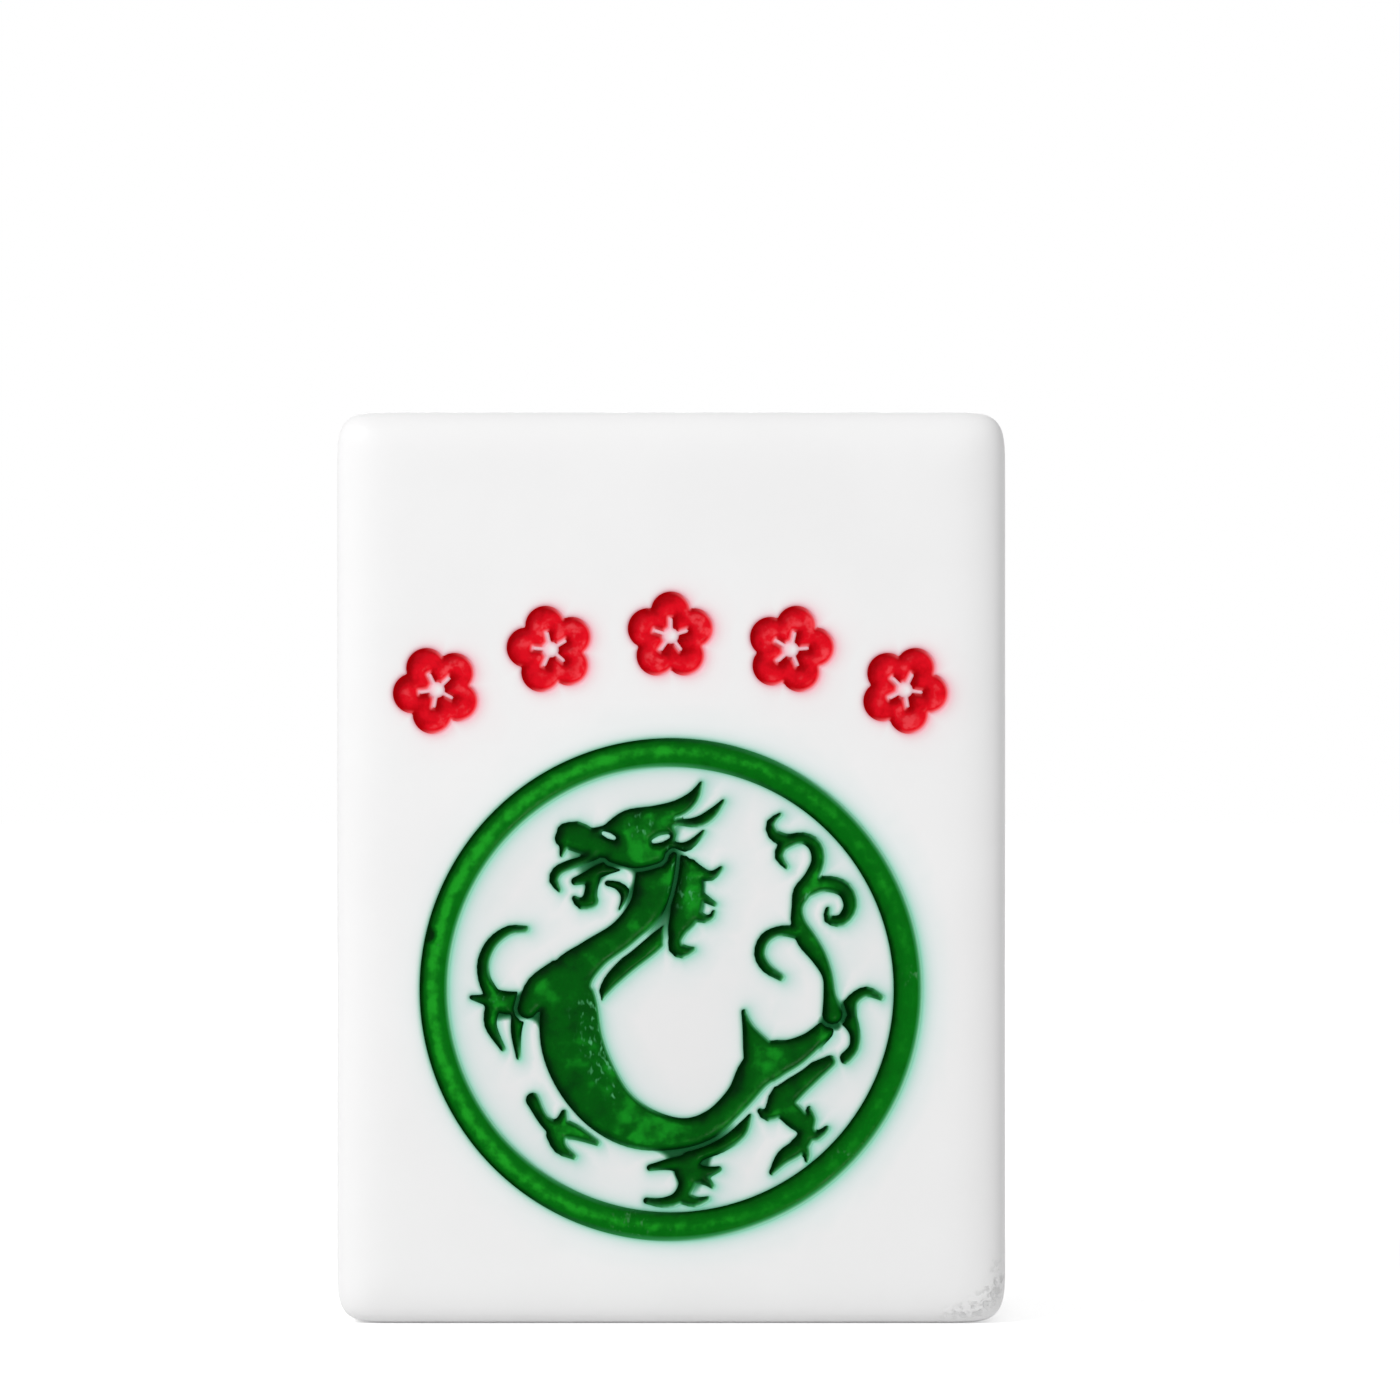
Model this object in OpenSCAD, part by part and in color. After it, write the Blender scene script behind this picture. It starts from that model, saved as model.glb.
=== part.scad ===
// A moulded tile for a table game: a white block whose face carries engraved pockets,
// each filled with enamel that lies a little below the face.
// It stands on its short side, centred on the origin, with its face towards -Y.

/* [Block] */
// Width of the tile
tile_w = 22; // [20:0.5:26]
// Height of the tile as it stands
tile_h = 30; // [28:0.5:38]
// Thickness from face to back
tile_t = 13; // [8:0.5:20]
// Radius of the four corners, seen from the front
corner_r = 1.5; // [1.2:0.1:2.2]
// Radius of the edge that runs round the face and round the back
edge_r = 1.0; // [0.5:0.1:1.2]

/* [Engraving] */
// Depth of the flat-bottomed pockets below the face
pocket_depth = 0.55; // [0.4:0.05:1]
// Thickness of the enamel in those pockets
enamel_t = 0.35; // [0.15:0.05:0.4]
// Width of the uncut ridge that parts two pockets of the figure
ridge_w = 0.13; // [0.1:0.01:0.16]
// Radius of the finest cutter, which no stroke of the figure is narrower than
cutter_r = 0.07; // [0.05:0.01:0.09]

/* [Ring] */
// Outer diameter of the ring groove
ring_d = 16.5; // [15:0.25:17]
// Width of the ring groove at the face
ring_w = 0.95; // [0.8:0.05:1.2]
// Depth of the ring groove at its middle
ring_depth = 0.45; // [0.3:0.05:0.6]
// How far the enamel's rims stay below the face, in the ring groove
ring_rim = 0.04; // [0.02:0.01:0.08]
// How much lower the enamel is at the middle of the ring groove than at its rims
ring_sag = 0.16; // [0.05:0.01:0.2]
// Height of the ring's centre above the tile's foot
ring_z = 11; // [9.5:0.25:12]

/* [Blossoms] */
// Number of blossoms in the row above the ring
blossom_count = 5; // [1:2:5]
// Diameter of a blossom over its petals
blossom_d = 2.9; // [2.2:0.1:3.2]
// Radius of one petal
petal_r = 0.66; // [0.5:0.02:0.76]
// Radius of the uncut button at a blossom's middle
button_r = 0.26; // [0.15:0.01:0.3]
// Length of the uncut stamens, from the button outwards
stamen_l = 0.34; // [0.15:0.01:0.4]
// Width of a stamen
stamen_w = 0.12; // [0.1:0.01:0.14]
// Radius of the arc that the blossoms stand on
arc_r = 17.5; // [14:0.5:30]
// Angle from one blossom to the next, seen from the arc's centre
arc_step = 13; // [11:0.5:14]
// Height of the middle blossom above the ring's centre
blossom_rise = 11.6; // [11:0.1:13]

/* [Hidden] */
$fn = 64;
// How far a cut runs past the face
overrun = 0.5;
// Petals of a blossom
petals = 5;
// Longest straight stretch of a drawn curve
curve_step = 0.2;
// How far a sliver of a pool may reach past where the cutter enters
sliver_l = 0.04;
// Radius of the plain field inside the ring, which the figure's shares are taken of
field_r = ring_d / 2 - ring_w;
// Y of the face and of the pocket floors
face_y = -tile_t / 2;
floor_y = face_y + pocket_depth;
// Radius of the circle that the ring groove's middle line follows
ring_mid_r = (ring_d - ring_w) / 2;
// Radius of an arc that is 2 * half_w wide and that deep at its middle
function sag_r(half_w, deep) = (half_w * half_w + deep * deep) / (2 * deep);
// The ring groove's section, and half its width where the enamel's rims lie
groove_r = sag_r(ring_w / 2, ring_depth);
rim_half_w = sqrt(pow(groove_r, 2) - pow(groove_r - ring_depth + ring_rim, 2));
// The enamel's hollow upper surface in the ring groove
hollow_r = sag_r(rim_half_w, ring_sag);

// The strokes of the figure. Each row is a point of a stroke's middle line and half the
// stroke's width there: [across, up, half width], as shares of the field's radius.
body_shares = [
    [-0.04, 0.66, 0.070], [-0.07, 0.52, 0.085], [-0.11, 0.37, 0.078],
    [-0.215, 0.25, 0.066], [-0.35, 0.155, 0.074], [-0.45, 0.05, 0.106],
    [-0.455, -0.09, 0.132], [-0.44, -0.25, 0.142], [-0.375, -0.405, 0.137],
    [-0.27, -0.54, 0.120], [-0.13, -0.622, 0.098], [0.05, -0.645, 0.068],
    [0.19, -0.597, 0.060], [0.305, -0.487, 0.062], [0.380, -0.376, 0.082],
    [0.454, -0.320, 0.090], [0.546, -0.288, 0.068], [0.626, -0.240, 0.050],
    [0.688, -0.186, 0.042]
];
spike_shares = [
    [0.42, -0.33, 0.100], [0.375, -0.235, 0.056], [0.346, -0.165, 0.026],
    [0.328, -0.100, 0.012]
];
shoulder_shares = [[-0.49, 0.05, 0.090], [-0.59, -0.005, 0.072], [-0.645, -0.085, 0.045]];

skull_shares = [
    [-0.48, 0.680, 0.042], [-0.39, 0.665, 0.058], [-0.29, 0.665, 0.075],
    [-0.18, 0.690, 0.102], [-0.08, 0.698, 0.104]
];
nose_shares = [[-0.47, 0.705, 0.044], [-0.42, 0.722, 0.034], [-0.37, 0.700, 0.030]];
fang_shares = [[-0.48, 0.645, 0.022], [-0.49, 0.605, 0.010]];
brow_shares = [
    [-0.30, 0.715, 0.018], [-0.20, 0.775, 0.030], [-0.07, 0.793, 0.034],
    [0.03, 0.812, 0.040], [0.10, 0.862, 0.030], [0.135, 0.925, 0.010]
];
back_horn_shares = [
    [-0.03, 0.745, 0.030], [0.035, 0.752, 0.016], [0.09, 0.750, 0.020],
    [0.14, 0.760, 0.026], [0.19, 0.795, 0.023], [0.235, 0.845, 0.010]
];
ear_shares = [
    [-0.04, 0.655, 0.030], [0.02, 0.650, 0.014], [0.06, 0.640, 0.022],
    [0.10, 0.662, 0.018], [0.145, 0.708, 0.010]
];
cheek_shares = [[-0.26, 0.610, 0.040], [-0.16, 0.590, 0.045], [-0.07, 0.610, 0.045]];
lip_shares = [
    [-0.34, 0.608, 0.024], [-0.40, 0.580, 0.020], [-0.46, 0.558, 0.023],
    [-0.51, 0.530, 0.024], [-0.525, 0.490, 0.022], [-0.50, 0.448, 0.011]
];

jaw_shares = [
    [-0.22, 0.570, 0.030], [-0.27, 0.553, 0.030], [-0.325, 0.532, 0.030],
    [-0.375, 0.505, 0.028], [-0.43, 0.487, 0.018]
];
beard_shares = [
    [[-0.35, 0.505, 0.034], [-0.358, 0.450, 0.028], [-0.365, 0.405, 0.034]],
    [[-0.362, 0.400, 0.036], [-0.405, 0.388, 0.027], [-0.433, 0.410, 0.012]]
];
whisker_shares = [
    [-0.285, 0.478, 0.012], [-0.240, 0.468, 0.018], [-0.205, 0.435, 0.024],
    [-0.205, 0.395, 0.022], [-0.225, 0.362, 0.011]
];

mane_shares = [
    [0.03, 0.565, 0.055], [0.070, 0.495, 0.068], [0.074, 0.405, 0.072],
    [0.060, 0.335, 0.066], [0.030, 0.270, 0.045], [0.020, 0.220, 0.030]
];
mane_lock_shares = [
    [[0.08, 0.545, 0.045], [0.137, 0.520, 0.030], [0.182, 0.512, 0.022], [0.225, 0.545, 0.010]],
    [[0.12, 0.430, 0.024], [0.168, 0.400, 0.016], [0.196, 0.384, 0.011]],
    [[0.11, 0.335, 0.030], [0.155, 0.318, 0.019], [0.185, 0.330, 0.013], [0.192, 0.348, 0.010]],
    [[0.02, 0.235, 0.030], [0.022, 0.190, 0.034], [0.055, 0.172, 0.032], [0.100, 0.180, 0.013]]
];

throat_shares = [
    [-0.02, 0.255, 0.036], [-0.09, 0.195, 0.042], [-0.19, 0.115, 0.040],
    [-0.275, 0.030, 0.032], [-0.325, -0.055, 0.010]
];

tail_shares = [
    [0.725, -0.110, 0.046], [0.715, -0.020, 0.030], [0.705, 0.065, 0.026],
    [0.665, 0.150, 0.038], [0.612, 0.225, 0.046], [0.575, 0.300, 0.036],
    [0.570, 0.370, 0.028], [0.590, 0.435, 0.042], [0.630, 0.500, 0.034],
    [0.662, 0.575, 0.032], [0.650, 0.645, 0.032], [0.595, 0.680, 0.026],
    [0.520, 0.670, 0.030], [0.460, 0.700, 0.026], [0.450, 0.750, 0.020],
    [0.490, 0.785, 0.010]
];
tail_curl_shares = [
    [
        [0.600, 0.440, 0.034], [0.690, 0.475, 0.036], [0.780, 0.450, 0.036],
        [0.808, 0.375, 0.033], [0.768, 0.312, 0.028], [0.706, 0.318, 0.020],
        [0.705, 0.360, 0.012]
    ],
    [
        [0.600, 0.250, 0.034], [0.500, 0.264, 0.024], [0.425, 0.230, 0.026],
        [0.400, 0.160, 0.026], [0.432, 0.098, 0.024], [0.495, 0.055, 0.016]
    ],
    [
        [0.540, 0.670, 0.030], [0.500, 0.640, 0.024], [0.488, 0.595, 0.021],
        [0.520, 0.552, 0.011]
    ]
];

forefoot_shares = [
    [[-0.65, -0.055, 0.046], [-0.73, -0.060, 0.052], [-0.80, -0.045, 0.048]],
    [
        [-0.800, -0.030, 0.036], [-0.838, 0.050, 0.028], [-0.840, 0.130, 0.028],
        [-0.800, 0.212, 0.026], [-0.725, 0.266, 0.022], [-0.650, 0.272, 0.014]
    ],
    [[-0.81, -0.050, 0.030], [-0.895, -0.035, 0.010]],
    [[-0.80, -0.070, 0.034], [-0.810, -0.160, 0.027], [-0.755, -0.265, 0.012]],
    [[-0.68, -0.080, 0.034], [-0.695, -0.190, 0.024], [-0.685, -0.305, 0.010]]
];
left_foot_shares = [
    [[-0.620, -0.495, 0.032], [-0.570, -0.585, 0.026], [-0.500, -0.640, 0.044]],
    [[-0.500, -0.625, 0.050], [-0.430, -0.640, 0.036], [-0.330, -0.688, 0.014]],
    [[-0.515, -0.650, 0.046], [-0.495, -0.710, 0.032], [-0.435, -0.750, 0.014]],
    [[-0.495, -0.620, 0.040], [-0.480, -0.555, 0.016]]
];
lower_foot_shares = [
    [
        [0.355, -0.570, 0.012], [0.310, -0.640, 0.034], [0.220, -0.700, 0.034],
        [0.120, -0.740, 0.036], [0.070, -0.800, 0.054], [0.072, -0.875, 0.038],
        [0.030, -0.938, 0.030], [-0.040, -0.957, 0.022], [-0.110, -0.948, 0.014]
    ],
    [[0.060, -0.785, 0.042], [-0.010, -0.785, 0.026], [-0.095, -0.800, 0.014]],
    [[0.070, -0.810, 0.044], [0.150, -0.822, 0.030], [0.215, -0.806, 0.013]],
    [[0.080, -0.838, 0.038], [0.145, -0.850, 0.026], [0.185, -0.882, 0.012]],
    [[0.050, -0.930, 0.034], [0.110, -0.953, 0.024], [0.165, -0.940, 0.012]]
];
hind_leg_shares = [
    [
        [0.715, -0.325, 0.030], [0.622, -0.385, 0.050], [0.545, -0.440, 0.064],
        [0.492, -0.505, 0.060]
    ],
    [
        [0.490, -0.510, 0.052], [0.555, -0.570, 0.052], [0.612, -0.635, 0.040],
        [0.575, -0.705, 0.040], [0.505, -0.755, 0.034], [0.455, -0.820, 0.014]
    ],
    [[0.490, -0.520, 0.056], [0.430, -0.560, 0.032], [0.400, -0.545, 0.012]],
    [[0.605, -0.630, 0.040], [0.630, -0.580, 0.026], [0.620, -0.535, 0.012]],
    [[0.610, -0.650, 0.036], [0.660, -0.655, 0.024], [0.700, -0.625, 0.014]],
    [[0.570, -0.700, 0.036], [0.605, -0.725, 0.024], [0.612, -0.765, 0.012]]
];
heel_shares = [
    [
        [0.795, -0.125, 0.042], [0.825, -0.190, 0.025], [0.824, -0.260, 0.025],
        [0.785, -0.308, 0.027]
    ],
    [
        [0.790, -0.110, 0.046], [0.820, -0.045, 0.028], [0.880, -0.010, 0.024],
        [0.945, -0.035, 0.014]
    ]
];

// Fine uncut lines inside the head: the eye and the cheek
fine_line_shares = [
    [[-0.304, 0.703, 0.008], [-0.280, 0.692, 0.014], [-0.255, 0.681, 0.009]],
    [[-0.079, 0.666, 0.010], [-0.045, 0.678, 0.016], [-0.012, 0.689, 0.010]]
];

// A point of a smooth curve between b and c, with a and d as the points beside them
function curve_point(a, b, c, d, t) =
    b + (c - a) * t / 2
    + (a - b * 5 / 2 + c * 2 - d / 2) * t * t
    + (b * 3 - c * 3 + d - a) / 2 * t * t * t;

// A smooth line through the given rows, with its points no further apart than curve_step
function smooth_line(rows) =
    let (last = len(rows) - 1)
    [
        for (i = [0:last - 1])
            let (steps = ceil(norm(rows[i + 1] - rows[i]) * field_r / curve_step))
            for (k = [0:steps - 1])
                curve_point(
                    rows[max(i - 1, 0)], rows[i], rows[i + 1], rows[min(i + 2, last)],
                    k / steps
                ),
        rows[last]
    ];

// The direction across a line at one of its points
function across(line, i) =
    let (
        step = line[min(i + 1, len(line) - 1)] - line[max(i - 1, 0)],
        size = norm([step.x, step.y])
    )
    [-step.y, step.x] / size;

// Half the width of a stroke at one of its points
function half_width(point) = max(field_r * point.z, cutter_r);

// One side of a stroke: 1 is its left side and -1 its right
function stroke_side(line, side) =
    [
        for (i = [0:len(line) - 1])
            field_r * [line[i].x, line[i].y] + across(line, i) * half_width(line[i]) * side
    ];

// A stroke of changing width with round ends
module stroke(rows) {
    line = smooth_line(rows);
    left = stroke_side(line, 1);
    right = stroke_side(line, -1);
    count = len(line);
    polygon(concat(left, [for (i = [1:count]) right[count - i]]));
    for (end = [line[0], line[count - 1]])
        translate(field_r * [end.x, end.y])
            circle(half_width(end), $fn = 12);
}

module strokes(tables) {
    for (rows = tables) stroke(rows);
}

// Each pool of the figure as it is drawn, before its neighbours cut it back
module drawn(pool) {
    if (pool == "body_enamel") strokes([body_shares, spike_shares, shoulder_shares]);
    if (pool == "head_enamel")
        strokes([
            skull_shares, nose_shares, fang_shares, brow_shares, back_horn_shares,
            ear_shares, cheek_shares, lip_shares
        ]);
    if (pool == "jaw_enamel") strokes(concat([jaw_shares], beard_shares));
    if (pool == "whisker_enamel") stroke(whisker_shares);
    if (pool == "mane_enamel") strokes(concat([mane_shares], mane_lock_shares));
    if (pool == "throat_enamel") stroke(throat_shares);
    if (pool == "tail_enamel") strokes(concat([tail_shares], tail_curl_shares));
    if (pool == "forefoot_enamel") strokes(forefoot_shares);
    if (pool == "left_foot_enamel") strokes(left_foot_shares);
    if (pool == "lower_foot_enamel") strokes(lower_foot_shares);
    if (pool == "hind_leg_enamel") strokes(hind_leg_shares);
    if (pool == "heel_enamel") strokes(heel_shares);
}

// The figure's pools, each with the neighbours that cut it back by a ridge
FIGURE_POOLS = [
    ["head_enamel", []],
    ["tail_enamel", []],
    ["body_enamel", ["head_enamel", "tail_enamel"]],
    ["jaw_enamel", ["head_enamel", "body_enamel"]],
    ["whisker_enamel", ["jaw_enamel", "body_enamel"]],
    ["mane_enamel", ["head_enamel", "body_enamel"]],
    ["throat_enamel", ["body_enamel", "mane_enamel"]],
    ["forefoot_enamel", ["body_enamel"]],
    ["left_foot_enamel", ["body_enamel"]],
    ["lower_foot_enamel", ["body_enamel"]],
    ["hind_leg_enamel", ["body_enamel"]],
    ["heel_enamel", ["body_enamel", "tail_enamel", "hind_leg_enamel"]]
];

// A pool's outline at the face, cut back from its neighbours by the ridge
module parted_pool(row) {
    difference() {
        drawn(row[0]);
        offset(delta = ridge_w)
            for (other = row[1]) drawn(other);
        if (row[0] == "head_enamel") strokes(fine_line_shares);
    }
}

// That outline without the slivers that the cutter can't enter. The outer offset, of
// nothing, only joins the strokes to one outline.
module cut_pool(row) {
    offset(delta = 0)
        intersection() {
            parted_pool(row);
            offset(delta = cutter_r + sliver_l)
                offset(delta = -cutter_r)
                    parted_pool(row);
        }
}

// Turns what is drawn in X and Y, and raised along Z, so that it stands with its face to -Y
module upright() {
    rotate([90, 0, 0]) children();
}

// A flat-bottomed pocket of the drawn outline, cut from the face
module pocket() {
    translate([0, floor_y, 0])
        upright() linear_extrude(pocket_depth + overrun) children();
}

// The enamel that lies on the floor of that pocket
module filling() {
    translate([0, floor_y, 0])
        upright() linear_extrude(enamel_t) children();
}

// Section across the block, rounded by edge_r at its four corners
module edge_profile(width) {
    square([width - 2 * edge_r, tile_t], center = true);
    square([width, tile_t - 2 * edge_r], center = true);
    for (x = [-1, 1], y = [-1, 1])
        translate([x * (width / 2 - edge_r), y * (tile_t / 2 - edge_r)])
            circle(edge_r);
}

// The block before it is engraved: two crossed bars and four quarter-round corners
module plain_block() {
    upright() {
        translate([0, tile_h - corner_r, 0])
            rotate([90, 0, 0])
                linear_extrude(tile_h - 2 * corner_r) edge_profile(tile_w);
        translate([corner_r - tile_w / 2, tile_h / 2, 0])
            rotate([90, 0, 90])
                linear_extrude(tile_w - 2 * corner_r) edge_profile(tile_h);
        for (turn = [0:3]) {
            x = (turn == 0 || turn == 3) ? 1 : -1;
            y = turn < 2 ? 1 : -1;
            translate([x * (tile_w / 2 - corner_r), tile_h / 2 + y * (tile_h / 2 - corner_r), 0])
                rotate(turn * 90)
                    rotate_extrude(angle = 90)
                        intersection() {
                            edge_profile(2 * corner_r);
                            translate([0, -tile_t / 2]) square([corner_r, tile_t]);
                        }
        }
    }
}

// Places what is drawn round the ring's centre on the face
module at_ring() {
    translate([0, face_y, ring_z]) upright() children();
}

// The round-bottomed ring groove
module ring_groove() {
    at_ring()
        rotate_extrude()
            translate([ring_mid_r, groove_r - ring_depth]) circle(groove_r);
}

// The enamel in the ring groove, with a hollow upper surface as it dries
module ring_filling() {
    at_ring()
        rotate_extrude()
            difference() {
                translate([ring_mid_r, groove_r - ring_depth]) circle(groove_r);
                translate([ring_mid_r, hollow_r - ring_sag - ring_rim]) circle(hollow_r);
            }
}

// One blossom with its petals, and an uncut button and stamens at its middle
module blossom() {
    difference() {
        for (i = [0:petals - 1])
            rotate(i * 360 / petals)
                translate([0, blossom_d / 2 - petal_r]) circle(petal_r);
        circle(button_r);
        for (i = [0:petals - 1])
            rotate(i * 360 / petals)
                translate([-stamen_w / 2, 0]) square([stamen_w, button_r + stamen_l]);
    }
}

// Blossom number i at its place on the arc, counted from the left
module placed_blossom(i) {
    turn = (i - (blossom_count - 1) / 2) * arc_step;
    translate([0, ring_z + blossom_rise - arc_r])
        rotate(-turn)
            translate([0, arc_r]) blossom();
}

// One pool of the figure, drawn round the ring's centre
module placed_pool(row) {
    translate([0, ring_z]) cut_pool(row);
}

module tile_block() {
    color([0.95, 0.95, 0.94])
        difference() {
            plain_block();
            ring_groove();
            pocket()
                for (i = [0:blossom_count - 1]) placed_blossom(i);
            pocket()
                for (row = FIGURE_POOLS) placed_pool(row);
        }
}

module ring_enamel() {
    color([0.04, 0.43, 0.09]) ring_filling();
}

module blossom_enamel(i) {
    if (i < blossom_count)
        color([0.85, 0.05, 0.10]) filling() placed_blossom(i);
}

module figure_enamel(name) {
    for (row = FIGURE_POOLS)
        if (row[0] == name)
            color([0.02, 0.33, 0.07]) filling() placed_pool(row);
}

tile_block();
ring_enamel();
blossom_enamel(0);  // blossom_enamel_1
blossom_enamel(1);  // blossom_enamel_2
blossom_enamel(2);  // blossom_enamel_3
blossom_enamel(3);  // blossom_enamel_4
blossom_enamel(4);  // blossom_enamel_5
figure_enamel("head_enamel");  // head_enamel
figure_enamel("tail_enamel");  // tail_enamel
figure_enamel("body_enamel");  // body_enamel
figure_enamel("jaw_enamel");  // jaw_enamel
figure_enamel("whisker_enamel");  // whisker_enamel
figure_enamel("mane_enamel");  // mane_enamel
figure_enamel("throat_enamel");  // throat_enamel
figure_enamel("forefoot_enamel");  // forefoot_enamel
figure_enamel("left_foot_enamel");  // left_foot_enamel
figure_enamel("lower_foot_enamel");  // lower_foot_enamel
figure_enamel("hind_leg_enamel");  // hind_leg_enamel
figure_enamel("heel_enamel");  // heel_enamel
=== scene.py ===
"""The looks of an engraved mahjong tile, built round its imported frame.

The outlines of the pockets are read from the frame's nodes. Lengths here are millimetres
on the face: x to the right, z up, and depth from the face inwards.
"""

import math

import bmesh
import bpy
import numpy as np
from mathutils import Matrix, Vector, noise
from mathutils.geometry import delaunay_2d_cdt


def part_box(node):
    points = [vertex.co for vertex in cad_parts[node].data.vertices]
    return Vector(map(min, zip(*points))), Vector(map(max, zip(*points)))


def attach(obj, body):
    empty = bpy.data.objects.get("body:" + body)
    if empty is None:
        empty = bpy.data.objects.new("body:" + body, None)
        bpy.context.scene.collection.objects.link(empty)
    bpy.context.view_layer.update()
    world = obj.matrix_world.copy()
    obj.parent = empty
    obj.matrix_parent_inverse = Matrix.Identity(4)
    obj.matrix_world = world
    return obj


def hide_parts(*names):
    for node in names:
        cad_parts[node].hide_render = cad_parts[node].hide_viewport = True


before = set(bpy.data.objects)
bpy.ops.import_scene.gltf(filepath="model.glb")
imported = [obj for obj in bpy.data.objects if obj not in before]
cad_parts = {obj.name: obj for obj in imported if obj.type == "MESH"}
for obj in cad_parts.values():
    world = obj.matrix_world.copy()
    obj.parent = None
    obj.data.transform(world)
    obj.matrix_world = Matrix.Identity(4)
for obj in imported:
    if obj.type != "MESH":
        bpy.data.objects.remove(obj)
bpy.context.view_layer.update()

MM = 0.001
BODY = "root"

# The block and the nodes of the drawn enamel, as the frame has them
low, high = (np.array(corner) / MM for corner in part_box("tile_block"))
FACE_Y = low[1]
THICK = high[1] - low[1]
HALF_SIZE = (high[[0, 2]] - low[[0, 2]]) / 2
CENTRE = (high[[0, 2]] + low[[0, 2]]) / 2
RED_NODES = sorted(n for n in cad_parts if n.startswith("blossom_enamel"))
FIGURE_NODES = sorted(
    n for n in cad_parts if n.endswith("_enamel") and n != "ring_enamel"
)

# The block's edges: a superellipse that starts far in and falls steeply at the rim
ROUND_IN = 2.3
ROUND_DEEP = 1.15
ROUND_POWER = 2.8
CORNER_POWER = 4.8
CORNER_STEPS = 16
FLAT_HALF = HALF_SIZE - ROUND_IN

# Rows of points in from the rim, which from the loose inset on aren't tied by edges, then
# the steps down the sides and over the face, whose rows lie a share of a step apart
RIM_INSETS = (
    0.0, 0.008, 0.022, 0.045, 0.08, 0.125, 0.18, 0.25, 0.34, 0.45, 0.59, 0.76, 0.97, 1.2,
    1.5, 1.9, ROUND_IN,
)
LOOSE_INSET = 1.3
SIDE_STEP = 0.8
FACE_GRID = 0.8
ROW_SHARE = 0.87

# The field of distances to the pockets' outlines: its grid, how far it reaches, and how
# widely it and the cover of the pockets are softened
FIELD_STEP = 0.02
FIELD_REACH = 1.2
FIELD_BLUR = 0.026
COVER_BLUR = 0.35

# Loops read from the field: the step between their points, and the least that they have
LOOP_STEP = 0.05
LEAST_LOOP = 0.12
LEAST_POINTS = 8

# The engraving, seen across a pocket's outline: below 0 is outside it
GLOW_LEVELS = (-0.55, -0.38)
LIP_LEVELS = (-0.26, -0.19, -0.145, -0.11, -0.08, -0.055, -0.036)
BRINK = -0.02
WALL_LEVELS = (-0.009, -0.002, 0.006, 0.02)
LIP_WIDE = 0.18
LIP_DEEP = 0.09
POCKET_DEEP = 0.52
CLEAR_OF_LIP = 0.68

# The drawn enamel, which wets the wall up to its rim and hangs between the walls
ENAMEL_LEVELS = (0.012, 0.035, 0.062, 0.095, 0.135, 0.19, 0.27, 0.38, 0.55)
ENAMEL_EDGE = -0.008
ENAMEL_RIM = 0.085
ENAMEL_SAG = 0.27
ENAMEL_CURVE = 0.13
SAG_BLUR = 0.035
ENAMEL_GRID = 0.14
GRID_MARGIN = 0.05

# The ring's enamel, and its rows of points in from each rim
RING_STEPS = 480
RING_SAG = 0.26
RING_CURVE = 0.14
RING_INSETS = (ENAMEL_EDGE, 0.004, 0.018, 0.036, 0.06, 0.09, 0.13, 0.18, 0.24, 0.31, 0.39)

# Waves in the enamel's surface: height, width and plane of the noise. They die out
# towards the rim
ENAMEL_WAVES = (0.022, 0.55, 3.1)
RING_WAVES = (0.012, 0.8, 1.7)
WAVES_IN = 0.2

# How points are moved to a level of the field: rounds, and the least slope that counts
MOVE_ROUNDS = 3
LEAST_SLOPE = 0.2

# Slack for rounding, in millimetres or as shares. The gap that is joined is in metres
DECIMALS = 4
FRONT_SLACK = 1e-3
CELL_SLACK = 1e-3
SAME_POINT = 1e-6
TINY = 1e-9
RIM_SLACK = 3e-5
AT_RIM = 0.999
JOIN_GAP = 1e-8

# How many widths a bell curve reaches, and from how many degrees on an edge is sharp
BELL_REACH = 3
SHARP_ANGLE = 50

# Materials: colours are linear. The finest grain of both is given by its width
IOR = 1.5
FINE_GRAIN = 0.12

# The resin: its clouds and its sheen are the width and detail of a noise, of which only
# the range counts, and its swell is a width and a height
RESIN_WHITE = (0.90, 0.897, 0.898)
CLOUD_SHADE = 0.985
RESIN_SHADE = tuple(CLOUD_SHADE * c for c in RESIN_WHITE)
RESIN_GLOSS = 0.25
RESIN_CLOUDS = (4.0, 1.0)
RESIN_SHEEN = (1.2, 3.0)
RESIN_ROUGHNESS = (0.40, 0.48)
RESIN_SWELL = (1.6, 0.006)
RESIN_GRAIN_TALL = 0.0008
RESIN_RANGE = (0.3, 0.7)

# Scuffs: their grey, the width of their grit, which part of its noise shows, and how deep
# it cuts. Down the side they fade from the last depth to twice as deep
SCUFF_GREY = (0.72, 0.72, 0.72)
SCUFF_GRIT = 0.2
SCUFF_RANGE = (0.45, 0.65)
SCUFF_CUT = -0.025
SCUFF_DEEP = 1.2

# The enamel: its gloss, which part of each noise counts, and its relief, whose swell is
# a little narrower than the clouds
ENAMEL_GLOSS = 0.03
ENAMEL_CLOUD_RANGE = (0.25, 0.75)
ENAMEL_SHEEN_RANGE = (0.35, 0.65)
ENAMEL_ROUGHNESS = (0.28, 0.4)
ENAMEL_SWELL_SHARE = 0.8
ENAMEL_SWELL_TALL = 0.02
ENAMEL_GRAIN_TALL = 0.003

# Specks in the enamel, of wear, which on the figure also stand in as painted glints: width,
# detail and how much taller than wide they are
SPECKS = (0.15, 1.0, 1.7)
SPECK_RANGE = (0.54, 0.8)

# Where one colour passes into the next: from the deepest tone, which is also painted shade, to
# the middle one and on to the palest, and from full enamel to a half thin film and on to the
# thinnest, which make the painted lit rim
TONE_RANGES = ((0.0, 0.5), (0.5, 1.0))
LIT_RIM_RANGES = ((0.0, 0.55), (0.45, 1.0))
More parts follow.
